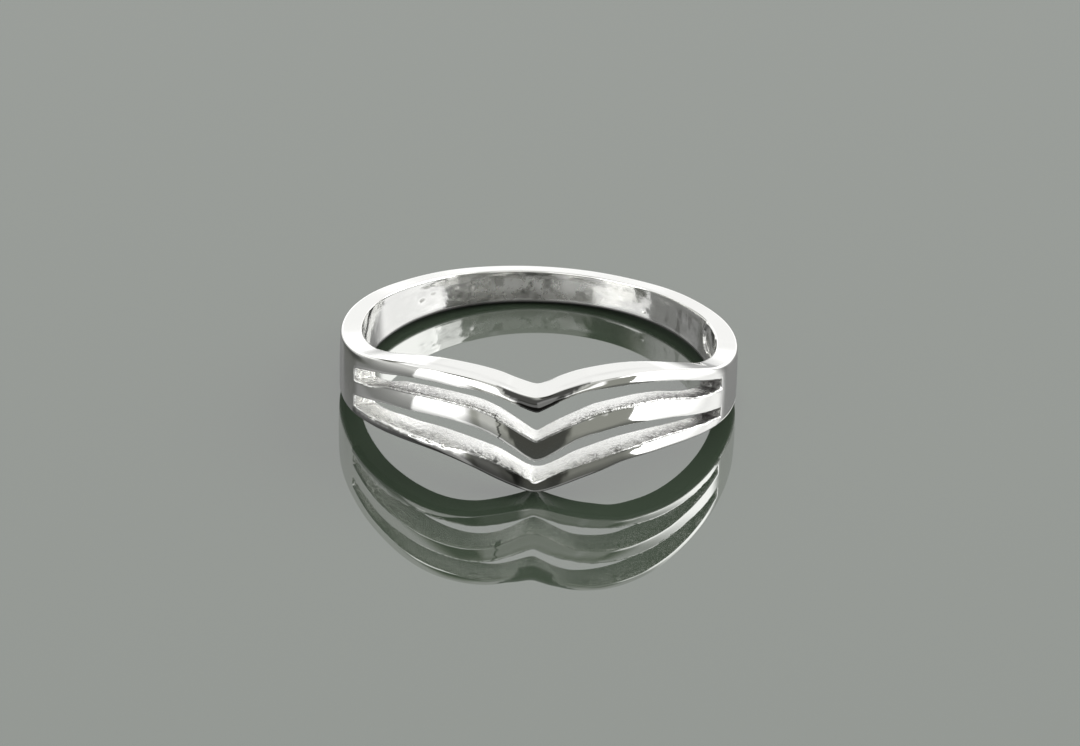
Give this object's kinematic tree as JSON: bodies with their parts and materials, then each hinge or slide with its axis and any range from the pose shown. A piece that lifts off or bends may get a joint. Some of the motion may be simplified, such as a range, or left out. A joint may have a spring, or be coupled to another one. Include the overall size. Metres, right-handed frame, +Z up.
{
  "type": "chevron ring",
  "caption": "Polished silver finger ring whose front opens into three V-shaped bars around two see-through slots, lying on its side.",
  "frame": {"origin": "on the surface that the ring lies on, under the middle of its footprint", "axes": "+Z up from the surface; -Y towards the point of the V at the front; +X to the right seen from the front"},
  "size_m": [0.02, 0.0204, 0.0064],
  "materials": {
    "chevron_ring": "polished silver"
  },
  "bodies": {
    "root": {"chevron_ring": "chevron_ring"}
  },
  "joints": []
}
